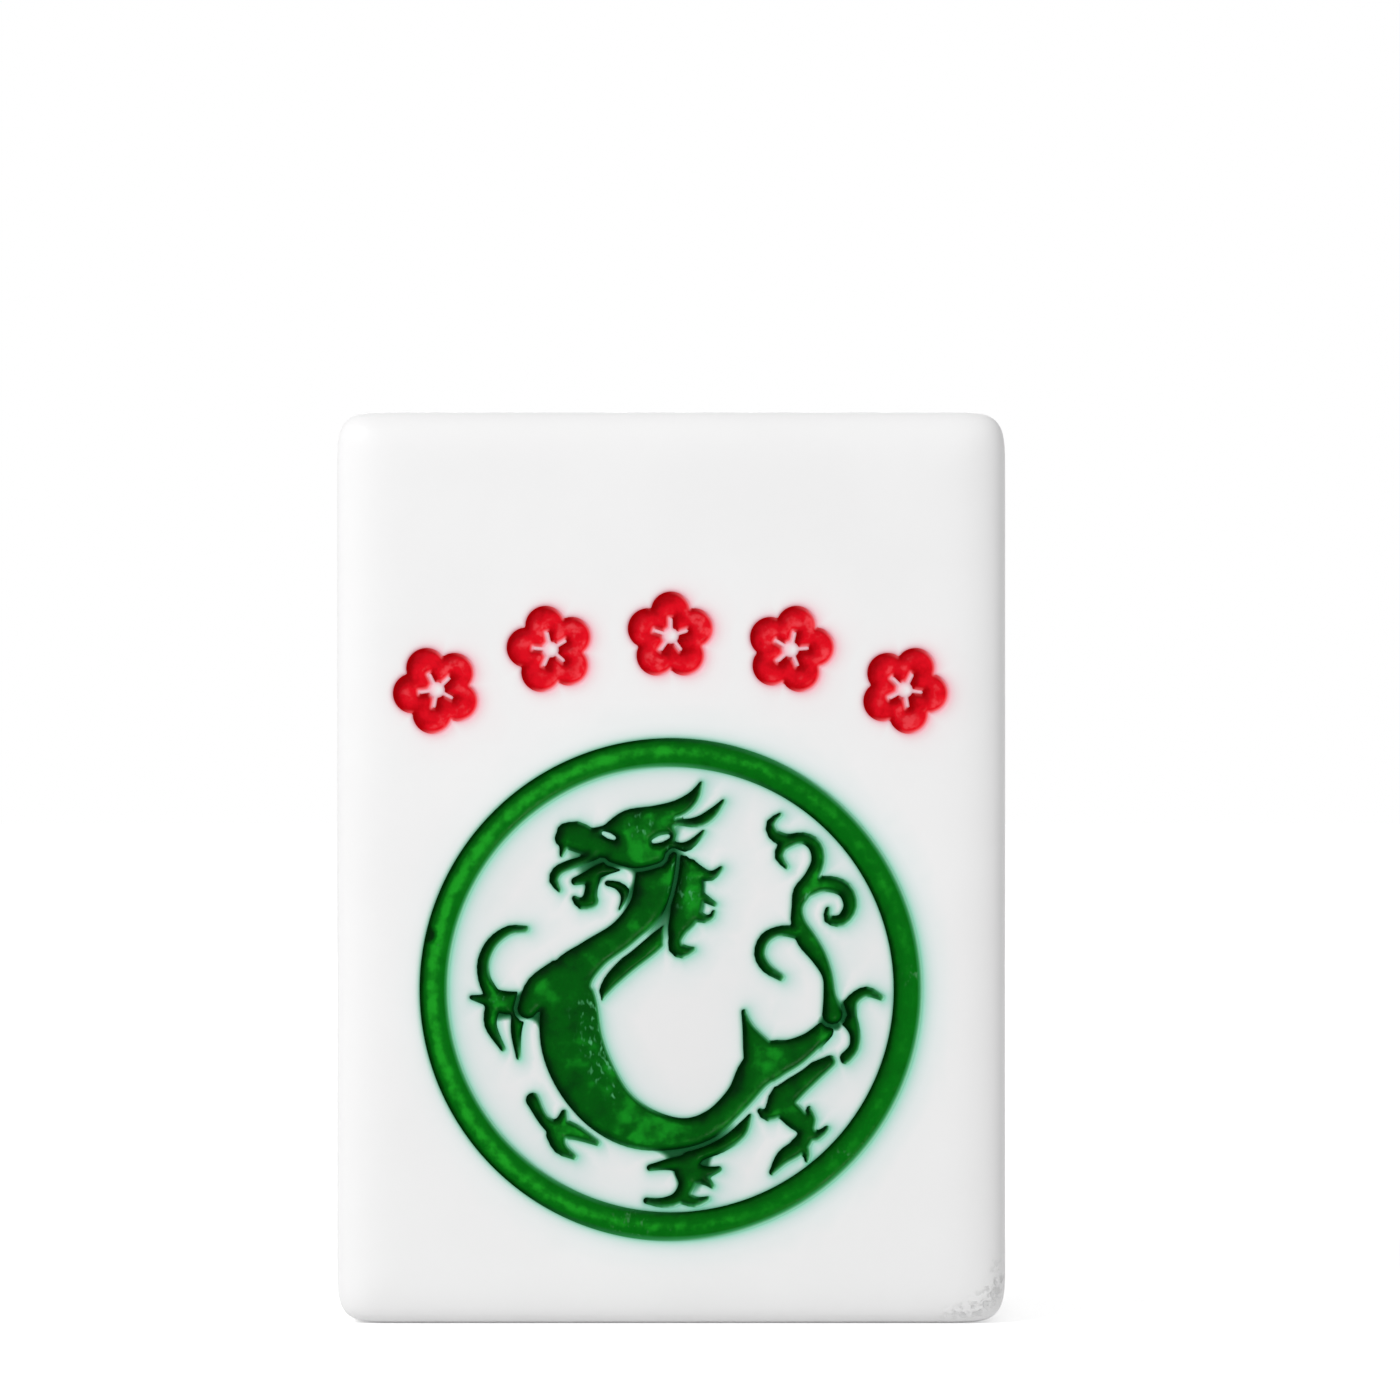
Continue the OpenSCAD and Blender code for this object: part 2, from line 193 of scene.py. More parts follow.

# The way the light runs across the face, from the left and a little from above, and what a film
# of enamel on the lips takes from the white, by colour. The film thins out from the pocket's
# edge, and more slowly on the pocket's lit side, where the wider reach is painted light
LIGHT_TRAVEL = (0.97, -0.24)
GREEN_FILM = (1.0, 0.24, 0.56)
RED_FILM = (0.06, 0.75, 0.62)
FILM = 1.1
FILM_REACH = 0.09
FILM_LIT_SPREAD = 0.03

# The film's colour at its thickest on the white, and half way to the enamel's own. They also
# colour the enamel's painted lit rim
MINT, PINK = (
    tuple(c * math.exp(-FILM * k) for c, k in zip(RESIN_WHITE, film))
    for film in (GREEN_FILM, RED_FILM)
)
HALF_MINT = (0.035, 0.28, 0.08)
HALF_PINK = (0.86, 0.10, 0.12)

# Painted light: the green or red light that the translucent resin would carry from the enamel
# round it, everywhere and more on the lit side
GREEN_GLOW = (0.34, 0.14, 0.15)
RED_GLOW = (0.0, 0.08, 0.07)
GLOW_REACH = 0.6
GLOW_EVEN = 0.6
GLOW_LIT = 0.4

# How much greyer the whole field inside the ring is made, and over what width past the ring's
# middle that fades out
INNER_GREY = 0.06
INNER_GREY_FADE = 1.0

# Enamel smeared over thin ridges: what it takes from the white, and how much pocket there
# has to be round a point before the smear starts and where it is full
SMEAR = (3.8, 2.1, 3.1)
SMEAR_COVER = (0.55, 0.64)

# Painted shade and light: the enamel is painted deepest at the walls turned away from the light,
# and pale at the walls that face it, partly as a thin film: how far each of the two reaches
RING_RIMS = (0.21, 0.18)
DRAWN_RIMS = (0.36, 0.13)

# The share of the painted shade rim that every wall has, what facing the light takes from it or
# turning away adds, and the share of the painted lit rim that every wall has
SHADE_EVEN = 0.65
SHADE_BY_SIDE = 0.35
LIT_RIM_EVEN = 0.45

# Tones run from 0 to 1. The drawn enamel's clouds are height, width and plane of a noise
DRAWN_TONE = 0.51
BROAD_CLOUDS = (0.3, 1.3, 2.2)
FINE_CLOUDS = (0.3, 0.42, 7.2)
PALER = 0.22

# The ring's painted highlight, a pale band along its middle: how much paler, how far out it
# lies, and how much of both comes on the left, towards the light. Its palest place is turned a
# little from straight left
RING_TONE = 0.42
RING_CLOUDS = (0.06, 0.9, 4.4)
BAND_PALER = 0.12
BAND_PALER_LEFT = 0.4
BAND_OUT = 0.02
BAND_OUT_LEFT = 0.06
BAND_WIDE = 0.2
BAND_TURN = 0.25

# Places on the face: x, z and how far they reach. The inner part is at full strength, and
# this share of the reach is the fading edge
PLACE_EDGE = 0.5

# Where the smear lies, the eyes that stay clean of it, and the tail's knot that it fills
SMEARED = (
    (-1.6, 15.2, 1.9), (-0.1, 14.6, 2.0), (-4.85, 10.5, 1.8), (5.4, 9.8, 1.0), (0.6, 5.9, 1.7),
)
CLEAN = ((-2.06, 16.04, 0.6), (-0.37, 16.04, 0.6))
FLOODED = ((5.13, 9.9, 0.34), (5.4, 9.85, 0.22), (5.64, 10.12, 0.34), (5.72, 10.4, 0.3))

# Where the enamel is pale, where it is worn, with specks on the figure that are also painted
# glints, where a nick in the ring is shown only by painted shade, and where the block is scuffed
PALE_PLACES = (
    (-0.8, 6.5, 1.9), (-0.8, 16.2, 1.2), (0.7, 14.2, 1.2), (-5.8, 10.7, 0.8), (-3.4, 6.4, 0.9),
    (1.0, 4.0, 0.8), (4.9, 14.3, 0.9), (4.3, 12.6, 0.9),
)
RING_WORN = (
    (-1.35, 3.28, 0.8), (0.05, 3.1, 0.2), (-7.7, 12.4, 0.2), (5.75, 5.45, 0.5), (7.9, 11.4, 0.4),
)
FIGURE_WEAR_AND_GLINTS = (
    (-2.7, 10.2, 0.7), (-2.5, 9.3, 0.7), (-2.2, 8.4, 0.6), (-1.8, 7.6, 0.4), (0.4, 14.2, 0.6),
    (0.1, 15.3, 0.5), (-5.7, 10.8, 0.3), (-1.0, 16.4, 0.5), (4.7, 14.0, 0.4),
)
SHADED_NICKS = ((-7.95, 12.8, 0.32),)
SCUFFED = (
    (9.6, 0.45, 0.35), (10.0, 0.55, 0.4), (10.35, 0.8, 0.45), (10.6, 1.15, 0.42),
    (10.75, 1.55, 0.35), (10.75, 1.95, 0.3),
)

# The camera looks level and square at the face, with the photograph's framing
VIEW_CENTRE = (0.95, 20.5)
VIEW_WIDTH = 45.9
VIEW_DISTANCE = 250
SENSOR = 36
CLIP_START = 10

# Round lamps: place, width, and power in watts. The fill is the world's light all round
LAMPS = {
    "key": ((-225, -300, 275), 130, 1.06),
    "back": ((0, 350, 150), 130, 0.2),
}
FILL = 0.48

# The floor, and its own glow near the tile, where it lets the shadow show, and far from it
FLOOR_SIZE = 2000
FLOOR_WHITE = (0.9, 0.9, 0.9)
FLOOR_ROUGHNESS = 0.9
FLOOR_GLOW = (0.52, 0.62)
FLOOR_GLOW_FADE = (40, 120)
WHITE = (1, 1, 1)


def mesh_points(mesh):
    """A mesh's vertices, in millimetres."""
    flat = np.empty(len(mesh.vertices) * 3)
    mesh.vertices.foreach_get("co", flat)
    return flat.reshape(-1, 3) / MM


def node_mesh(name):
    """A node's vertices in millimetres, with doubled ones joined, and its triangles."""
    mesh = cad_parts[name].data
    mesh.calc_loop_triangles()
    corners = np.empty(len(mesh.loop_triangles) * 3, dtype=np.int32)
    mesh.loop_triangles.foreach_get("vertices", corners)
    points, index = np.unique(
        np.round(mesh_points(mesh), DECIMALS), axis=0, return_inverse=True
    )
    return points, index.reshape(-1)[corners].reshape(-1, 3)


def open_edges(faces):
    """The directed edges that only one face has."""
    edges = {(f[k], f[(k + 1) % len(f)]) for f in faces for k in range(len(f))}
    return [e for e in edges if (e[1], e[0]) not in edges]


def chained(edges):
    """Closed loops from directed edges, each given as start and end."""
    after = dict(edges)
    loops = []
    while after:
        start, at = after.popitem()
        loop = [start]
        while at != start and at in after:
            loop.append(at)
            at = after.pop(at)
        loops.append(loop)
    return loops


def front_loops(name):
    """The outlines of a flat enamel node, as they lie on the face."""
    points, triangles = node_mesh(name)
    front = points[:, 1].min() + FRONT_SLACK
    on_face = triangles[(points[triangles, 1] < front).all(axis=1)]
    rim = open_edges(on_face.tolist())
    return [points[loop][:, [0, 2]] for loop in chained(rim)]


def blurred(grid, width):
    """A grid softened both ways by a bell curve of that width."""
    reach = int(BELL_REACH * width / FIELD_STEP) + 1
    taps = np.exp(-0.5 * (np.arange(-reach, reach + 1) * FIELD_STEP / width) ** 2)
    taps /= taps.sum()
    for axis in (0, 1):
        pad = [(reach, reach) if k == axis else (0, 0) for k in (0, 1)]
        wide = np.pad(grid, pad, mode="edge")
        size = grid.shape[axis]
        grid = sum(
            w * wide.take(range(k, k + size), axis=axis) for k, w in enumerate(taps)
        )
    return grid


def resampled(loop, step):
    """A closed loop with its points evenly spaced."""
    closed = np.vstack([loop, loop[:1]])
    lengths = np.hypot(*np.diff(closed, axis=0).T)
    along = np.concatenate([[0], np.cumsum(lengths)])
    count = max(LEAST_POINTS, round(along[-1] / step))
    at = np.linspace(0, along[-1], count, endpoint=False)
    return np.column_stack([np.interp(at, along, closed[:, k]) for k in (0, 1)])


def loop_length(loop):
    """How long a closed loop is, all round."""
    return np.hypot(*(loop - np.roll(loop, 1, axis=0)).T).sum()


def circle_points():
    """Points round a circle of radius 1, evenly spaced."""
    turn = np.linspace(0, 2 * math.pi, RING_STEPS, endpoint=False)
    return np.column_stack([np.cos(turn), np.sin(turn)])


# The four edges of a grid cell, and for each pattern of inside corners the stretches of
# outline that cross it, with the inside on their left
BOTTOM, RIGHT, TOP, LEFT = range(4)
CELL_STRETCHES = {
    1: [(BOTTOM, LEFT)], 2: [(RIGHT, BOTTOM)], 3: [(RIGHT, LEFT)], 4: [(TOP, RIGHT)],
    5: [(BOTTOM, LEFT), (TOP, RIGHT)], 6: [(TOP, BOTTOM)], 7: [(TOP, LEFT)],
    8: [(LEFT, TOP)], 9: [(BOTTOM, TOP)], 10: [(RIGHT, BOTTOM), (LEFT, TOP)],
    11: [(RIGHT, TOP)], 12: [(LEFT, RIGHT)], 13: [(BOTTOM, RIGHT)], 14: [(LEFT, BOTTOM)],
}


class Outlines:
    """Signed distance to a group of outlines on a fine grid: positive inside them."""

    def __init__(self, names):
        self.names = names
        self.loops = {name: front_loops(name) for name in names}
        every = [loop for loops in self.loops.values() for loop in loops]
        points = np.vstack(every)
        self.origin = points.min(axis=0) - FIELD_REACH
        size = np.ceil((points.max(axis=0) + FIELD_REACH - self.origin) / FIELD_STEP)
        self.shape = (int(size[1]) + 1, int(size[0]) + 1)
        near = np.full(self.shape, FIELD_REACH)
        crossed = np.zeros((self.shape[0], self.shape[1] + 1), dtype=np.int32)
        for loop in every:
            for a, b in zip(loop, np.roll(loop, -1, axis=0)):
                self.measure(near, a, b)
                self.cross(crossed, a, b)

        # Along a row, each crossing passes from outside to inside or back
        inside = np.cumsum(crossed, axis=1)[:, :-1] % 2 == 1
        self.value = blurred(np.where(inside, near, -near), FIELD_BLUR)
        self.enamel = blurred(enamel_depth(self.value), SAG_BLUR)
        self.cover = blurred(inside.astype(float), COVER_BLUR)

    def measure(self, near, a, b):
        """Lowers the distances near one straight stretch of an outline."""
        low = (np.minimum(a, b) - FIELD_REACH - self.origin) / FIELD_STEP
        high = (np.maximum(a, b) + FIELD_REACH - self.origin) / FIELD_STEP
        i0, j0 = np.maximum(low.astype(int), 0)
        i1, j1 = np.minimum(high.astype(int) + 2, (self.shape[1], self.shape[0]))
        dx = self.origin[0] + FIELD_STEP * np.arange(i0, i1)[None, :] - a[0]
        dz = self.origin[1] + FIELD_STEP * np.arange(j0, j1)[:, None] - a[1]
        along = b - a
        t = np.clip((dx * along[0] + dz * along[1]) / max(along @ along, TINY), 0, 1)
        view = near[j0:j1, i0:i1]
        np.minimum(view, np.hypot(dx - t * along[0], dz - t * along[1]), out=view)

    def cross(self, crossed, a, b):
        """Marks, on each row of the grid, where the stretch crosses it."""
        rows = self.origin[1] + FIELD_STEP * np.arange(self.shape[0])
        hit = np.nonzero((rows >= min(a[1], b[1])) & (rows < max(a[1], b[1])))[0]
        if len(hit):
            x = a[0] + (rows[hit] - a[1]) / (b[1] - a[1]) * (b[0] - a[0])
            column = np.ceil((x - self.origin[0]) / FIELD_STEP).astype(int)
            np.add.at(crossed, (hit, np.clip(column, 0, self.shape[1])), 1)

    def sample(self, grid, points):
        """A grid's values at any points."""
        place = (np.asarray(points) - self.origin) / FIELD_STEP
        last = np.array(self.shape[::-1]) - 1 - CELL_SLACK
        place = np.clip(place, 0, last)
        i, j = place.astype(int).T
        u, v = (place - place.astype(int)).T
        low = grid[j, i] * (1 - u) + grid[j, i + 1] * u
        high = grid[j + 1, i] * (1 - u) + grid[j + 1, i + 1] * u
        return low * (1 - v) + high * v

    def at(self, points):
        """How far inside an outline the points lie."""
        return self.sample(self.value, points)

    def slope(self, points):
        """The direction in which the distance grows, which is into the outline."""
        reach = np.array([[FIELD_STEP, 0], [0, FIELD_STEP]])
        return np.column_stack(
            [self.at(points + r) - self.at(points - r) for r in reach]
        ) / (2 * FIELD_STEP)

    def moved_to(self, points, level):
        """The points moved square to the outline until they lie at that distance."""
        points = np.array(points)
        for _ in range(MOVE_ROUNDS):
            slope = self.slope(points)
            steep = np.maximum((slope ** 2).sum(axis=1), LEAST_SLOPE)
            points += slope * ((level - self.at(points)) / steep)[:, None]
        return points

    def contours(self, level):
        """The loops at one distance, with the inside on their left."""
        height = self.value - level
        height[height == 0] = TINY
        inside = (height > 0).astype(int)
        rows, columns = self.shape
        pattern = (
            inside[:-1, :-1] + 2 * inside[:-1, 1:] + 4 * inside[1:, 1:] + 8 * inside[1:, :-1]
        )

        # Grid edges go by the number of their first point, with the upright ones last
        edges = []
        for number, stretches in CELL_STRETCHES.items():
            j, i = np.nonzero(pattern == number)
            cell = j * columns + i
            side = {
                BOTTOM: cell, TOP: cell + columns,
                LEFT: cell + rows * columns, RIGHT: cell + 1 + rows * columns,
            }
            for start, end in stretches:
                edges += zip(side[start].tolist(), side[end].tolist())
        loops = []
        for loop in chained(edges):
            spots = self.crossings(height, np.array(loop))
            if loop_length(spots) > LEAST_LOOP:
                loops.append(self.moved_to(resampled(spots, LOOP_STEP), level))
        return loops

    def crossings(self, height, edges):
        """Where the level crosses the grid edges of those numbers."""
        rows, columns = self.shape
        upright = edges >= rows * columns
        j, i = np.divmod(edges % (rows * columns), columns)
        here = height[j, i]
        beyond = np.where(
            upright, height[np.minimum(j + 1, rows - 1), i],
            height[j, np.minimum(i + 1, columns - 1)],
        )
        part = here / (here - beyond)
        x = i + np.where(upright, 0, part)
        z = j + np.where(upright, part, 0)
        return self.origin + FIELD_STEP * np.column_stack([x, z])

    def owner(self, loop):
        """The node whose outline lies nearest to a loop."""
        gaps = {
            name: min(np.hypot(*(outline - loop[0]).T).min() for outline in outlines)
            for name, outlines in self.loops.items()
        }
        return min(gaps, key=gaps.get)


class Ring:
    """The ring groove, with the same calls as the drawn outlines."""

    def __init__(self):
        points, _ = node_mesh("ring_enamel")
        low, high = points.min(axis=0), points.max(axis=0)
        self.centre = (low[[0, 2]] + high[[0, 2]]) / 2
        reach = self.reach(points[:, [0, 2]])
        self.middle = (reach.min() + reach.max()) / 2
        self.half = (reach.max() - reach.min()) / 2
        self.deep = high[1] - FACE_Y

    def reach(self, points):
        """How far the points lie from the ring's centre."""
        return np.hypot(*(np.asarray(points) - self.centre).T)

    def at(self, points):
        """How far inside the groove the points lie."""
        return self.half - np.abs(self.reach(points) - self.middle)

    def slope(self, points):
        """The direction into the groove."""
        away = np.asarray(points) - self.centre
        reach = np.maximum(self.reach(points), TINY)
        return away * (-np.sign(reach - self.middle) / reach)[:, None]

    def moved_to(self, points, level):
        """The points moved towards or away from the centre, to that distance."""
        away = np.asarray(points) - self.centre
        reach = self.reach(points)
        goal = self.middle + np.sign(reach - self.middle) * (self.half - level)
        return self.centre + away * (goal / reach)[:, None]

    def contours(self, level):
        """The two circles at one distance."""
        spokes = circle_points()
        return [
            self.centre + spokes * (self.middle + side * (self.half - level))
            for side in (-1, 1)
        ]


def enamel_depth(inside):
    """How deep the enamel lies, by the distance to its rim."""
    sag = 1 - np.exp(-np.maximum(inside, 0) / ENAMEL_CURVE)
    return ENAMEL_RIM + ENAMEL_SAG * (sag + np.minimum(inside, 0) / ENAMEL_CURVE)


def lip_depth(inside):
    """How far the face has turned down into a pocket."""
    along = np.clip(1 + np.asarray(inside) / LIP_WIDE, 0, 1)
    return LIP_DEEP * (1 - np.sqrt(1 - along ** 2))


ring = Ring()
figure = Outlines(FIGURE_NODES)
blossoms = Outlines(RED_NODES)
GROUPS = (ring, figure, blossoms)


def nearest_group(points):
    """For each point the distance into the nearest pocket, and that pocket's group."""
    depths = np.array([group.at(points) for group in GROUPS])
    return depths.max(axis=0), depths.argmax(axis=0)


def rim_loop(inset):
    """The block's outline as seen from the front, shrunk towards its flat part."""
    share = 1 - inset / ROUND_IN
    turns = np.linspace(0, math.pi / 2, CORNER_STEPS + 1)
    corner = np.column_stack([np.cos(turns), np.sin(turns)]) ** (2 / CORNER_POWER)
    corner = corner * share * ROUND_IN + FLAT_HALF
    points = []
    for flip in ((1, 1), (-1, 1), (-1, -1), (1, -1)):
        arc = corner * flip
        points.append(arc if flip[0] == flip[1] else arc[::-1])
    outline = np.vstack(points)
    filled = []
    for a, b in zip(outline, np.roll(outline, -1, axis=0)):
        length = np.hypot(*(b - a))
        if length > SAME_POINT:
            steps = max(1, round(length / SIDE_STEP))
            filled += [a + (b - a) * k / steps for k in range(steps)]
    return CENTRE + np.array(filled)


def rim_depth(points):
    """How far the face has turned down towards the block's sides."""
    reach = np.abs(np.asarray(points) - CENTRE) - FLAT_HALF
    share = np.clip(reach / ROUND_IN, 0, 1)
    share = (share ** CORNER_POWER).sum(axis=1) ** (1 / CORNER_POWER)
    share[share > 1 - RIM_SLACK] = 1
    return ROUND_DEEP * (1 - (1 - share ** ROUND_POWER) ** (1 / ROUND_POWER))


def grid_points(low, high, step):
    """Points of a grid whose every second row is shifted by half a step."""
    points = []
    for row, z in enumerate(np.arange(low[1], high[1], step * ROW_SHARE)):
        across = np.arange(low[0] + (row % 2) * step / 2, high[0], step)
        points.append(np.column_stack([across, np.full(len(across), z)]))
    return np.vstack(points)


def sides(face):
    """A triangle's sides, each as a sorted pair of point numbers."""
    return [tuple(sorted((face[k], face[(k + 1) % 3]))) for k in range(3)]


def triangulated(rims, loops, loose):
    """Triangles inside the outermost rims, not inside the next ones, and so on.

    The loops are kept as edges, and the loose points as they are."""
    points, edges = [], []
    for loop in [*rims, *loops]:
        start = sum(map(len, points))
        count = len(loop)
        edges += [(start + k, start + (k + 1) % count) for k in range(count)]
        points.append(loop)
    rim_edges = sum(map(len, rims))
    flat = np.vstack([*points, loose]) if len(loose) else np.vstack(points)
    verts, out_edges, faces, _, origin, _ = delaunay_2d_cdt(
        [Vector(p) for p in flat], edges, [], 0, SAME_POINT, True
    )
    walls = {
        tuple(sorted(edge))
        for edge, sources in zip(out_edges, origin)
        if any(s < rim_edges for s in sources)
    }
    beside = {}
    for number, face in enumerate(faces):
        for side in sides(face):
            beside.setdefault(side, []).append(number)

    # From the border inwards, each rim that is crossed turns outside to inside or back
    inside = {
        owners[0]: side in walls for side, owners in beside.items() if len(owners) == 1
    }
    queue = list(inside)
    while queue:
        number = queue.pop()
        for side in sides(faces[number]):
            for other in beside[side]:
                if other not in inside:
                    inside[other] = inside[number] ^ (side in walls)
                    queue.append(other)
    kept = [face for number, face in enumerate(faces) if inside[number]]
    used = sorted({v for face in kept for v in face})
    renumbered = {v: k for k, v in enumerate(used)}
    flat = np.array([verts[v] for v in used])
    return flat, [tuple(renumbered[v] for v in face) for face in kept]


class Shell:
    """A mesh that grows from a flat sheet: points as x, z and depth, and faces."""

    def __init__(self, flat, depth, faces):
        self.points = [np.column_stack([flat, depth])]
        self.count = len(flat)
        self.faces = list(faces)

    def add(self, flat, depth):
        """Adds points and says what number the first has."""
        first = self.count
        self.points.append(np.column_stack([flat, np.broadcast_to(depth, len(flat))]))
        self.count += len(flat)
        return first

    def all_points(self):
        """Every point so far, in one array."""
        return np.vstack(self.points)

    def extruded(self, edges, moves):
        """Grows walls from open edges, one step for each move of their points."""
        numbers = sorted({v for e in edges for v in e})
        start = self.all_points()[numbers]
        place = {v: k for k, v in enumerate(numbers)}
        before = numbers
        for flat, depth in (move(start) for move in moves):
            first = self.add(flat, depth)
            after = [first + k for k in range(len(numbers))]
            for a, b in edges:
                ka, kb = place[a], place[b]
                self.faces.append((before[kb], before[ka], after[ka], after[kb]))
            before = after

    def mesh(self, name):
        """The finished mesh, in metres, with its open loops filled flat."""
        points = self.all_points()
        world = np.column_stack([points[:, 0], FACE_Y + points[:, 2], points[:, 1]]) * MM
        bm = bmesh.new()
        verts = [bm.verts.new(p) for p in world]
        for face in self.faces:
            bm.faces.new([verts[v] for v in face])
        bmesh.ops.remove_doubles(bm, verts=bm.verts, dist=JOIN_GAP)
        rims = [e for e in bm.edges if e.is_boundary]
        if rims:
            bmesh.ops.triangle_fill(bm, edges=rims, use_beauty=True, normal=(0, 1, 0))
        bmesh.ops.recalc_face_normals(bm, faces=bm.faces)
        mesh = bpy.data.meshes.new(name)
        bm.to_mesh(mesh)
        bm.free()
        mesh.shade_smooth()
        mesh.set_sharp_from_angle(angle=math.radians(SHARP_ANGLE))
        return mesh


def tile_shell():
    """The block with its rounded edges and its pockets."""
    lips, brinks = [], []
    for group in GROUPS:
        brinks += group.contours(BRINK)
        for level in GLOW_LEVELS + LIP_LEVELS:
            lips += group.contours(level)
    rims = [rim_loop(RIM_INSETS[0])]
    loops = [rim_loop(inset) for inset in RIM_INSETS[1:] if inset < LOOSE_INSET]
    loose = [rim_loop(inset) for inset in RIM_INSETS if inset >= LOOSE_INSET]
    grid = grid_points(CENTRE - FLAT_HALF, CENTRE + FLAT_HALF, FACE_GRID)
    loose = np.vstack([*loose, grid])
    front_loose = loose[nearest_group(loose)[0] < -CLEAR_OF_LIP]
    flat, faces = triangulated(rims + brinks, loops + lips, front_loose)
    shell = Shell(flat, rim_depth(flat) + lip_depth(nearest_group(flat)[0]), faces)

    # Walls grow down into the pockets from their brinks, and back along the sides
    edges = open_edges(faces)
    outer = rim_depth(flat) > ROUND_DEEP * AT_RIM
    side_edges = [e for e in edges if outer[e[0]]]
    wall_edges = [e for e in edges if not outer[e[0]]]
    shell.extruded(wall_edges, [wall_move(level) for level in WALL_LEVELS])
    steps = round((THICK - 2 * ROUND_DEEP) / SIDE_STEP)
    shell.extruded(side_edges, [side_move(k / steps) for k in range(1, steps + 1)])

    # The back is the same sheet without pockets, turned round
    back, back_faces = triangulated(rims, loops, loose)
    first = shell.add(back, THICK - rim_depth(back))
    shell.faces += [tuple(first + v for v in reversed(face)) for face in back_faces]
    return shell


def wall_move(level):
    """Moves brink points into their pocket, and down its wall."""
    def move(start):
        flat = start[:, :2].copy()
        which = nearest_group(flat)[1]
        for number, group in enumerate(GROUPS):
            mine = which == number
            if mine.any():
                flat[mine] = group.moved_to(flat[mine], level)
        sunk = POCKET_DEEP * max(level, 0) / WALL_LEVELS[-1]
        return flat, lip_depth(level) + sunk + rim_depth(flat)
    return move


def side_move(share):
    """Moves rim points straight back along the block's sides."""
    def move(start):
        return start[:, :2], ROUND_DEEP + share * (THICK - 2 * ROUND_DEEP)
    return move


def drop_move(depth):
    """Moves points straight back to one depth."""
    def move(start):
        return start[:, :2], depth
    return move


def waves(flat, height, width, plane):
    """Smooth random heights at points of the face, from a plane through 3-D noise."""
    return height * np.array([noise.noise((x / width, z / width, plane)) for x, z in flat])


def ripple(flat, inside, shape):
    """The waves in an enamel's surface, which die out towards its rim."""
    return np.clip(inside / WAVES_IN, 0, 1) * waves(flat, *shape)


def enamel_shells(group):
    """One closed filling for each node of a group."""
    rims = {name: [] for name in group.names}
    loops = {name: [] for name in group.names}
    for loop in group.contours(ENAMEL_EDGE):
        rims[group.owner(loop)].append(loop)
    for level in ENAMEL_LEVELS:
        for loop in group.contours(level):
            loops[group.owner(loop)].append(loop)
    shells = {}
    for name in group.names:
        outline = np.vstack(rims[name])
        grid = grid_points(outline.min(axis=0), outline.max(axis=0), ENAMEL_GRID)
        grid = grid[group.at(grid) > ENAMEL_LEVELS[-1] + GRID_MARGIN]
        flat, faces = triangulated(rims[name], loops[name], grid)
        depth = group.sample(group.enamel, flat) + rim_depth(flat)
        depth += ripple(flat, group.at(flat), ENAMEL_WAVES)
        shell = Shell(flat, depth, faces)
        shell.extruded(open_edges(faces), [drop_move(POCKET_DEEP)])
        shells[name] = shell
    return shells


def ring_shell():
    """The ring's filling: a band whose section hangs between its rims."""
    inner = [ring.middle - ring.half + inset for inset in RING_INSETS]
    outer = [ring.middle + ring.half - inset for inset in reversed(RING_INSETS)]
    section = [*inner, ring.middle, *outer]
    spokes = circle_points()
    tops = [ring.centre + spokes * reach for reach in section]
    shell = Shell(tops[0], ring_depth(tops[0]), [])
    for flat in tops[1:]:
        shell.add(flat, ring_depth(flat))

    # Two rows on the groove's bottom close the band
    for reach in (section[-1], section[0]):
        shell.add(ring.centre + spokes * reach, ring.deep)
    rows = len(tops) + 2
    for row in range(rows):
        here, beyond = row * RING_STEPS, (row + 1) % rows * RING_STEPS
        for k in range(RING_STEPS):
            after = (k + 1) % RING_STEPS
            shell.faces.append((here + k, beyond + k, beyond + after, here + after))
    return shell


def ring_depth(flat):
    """How deep the ring's enamel lies at points of the face."""
    inside = np.maximum(ring.at(flat), 0)
    sag = 1 - np.exp(-inside / RING_CURVE)
    return ENAMEL_RIM + RING_SAG * sag + ripple(flat, inside, RING_WAVES)


def face_points(mesh):
    """A mesh's vertices as x and z, and their depth, in millimetres."""
    points = mesh_points(mesh)
    return points[:, [0, 2]], points[:, 1] - FACE_Y


def set_attribute(mesh, name, values):
    """Stores one number for each vertex."""
    layer = mesh.attributes.new(name, "FLOAT", "POINT")
    layer.data.foreach_set("value", np.asarray(values, dtype=np.float32))


def set_colours(mesh, name, colours):
    """Stores one colour for each vertex."""
    layer = mesh.attributes.new(name, "FLOAT_COLOR", "POINT")
    full = np.column_stack([colours, np.ones(len(colours))])
    layer.data.foreach_set("color", full.astype(np.float32).ravel())


def piece(name, shell, node, material):
    """Makes a shell into the visible piece that stands for a node."""
    made = bpy.data.objects.new(name, shell.mesh(name))
    bpy.context.scene.collection.objects.link(made)
    made.data.materials.append(material)
    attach(made, BODY)
    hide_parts(node)
    return made


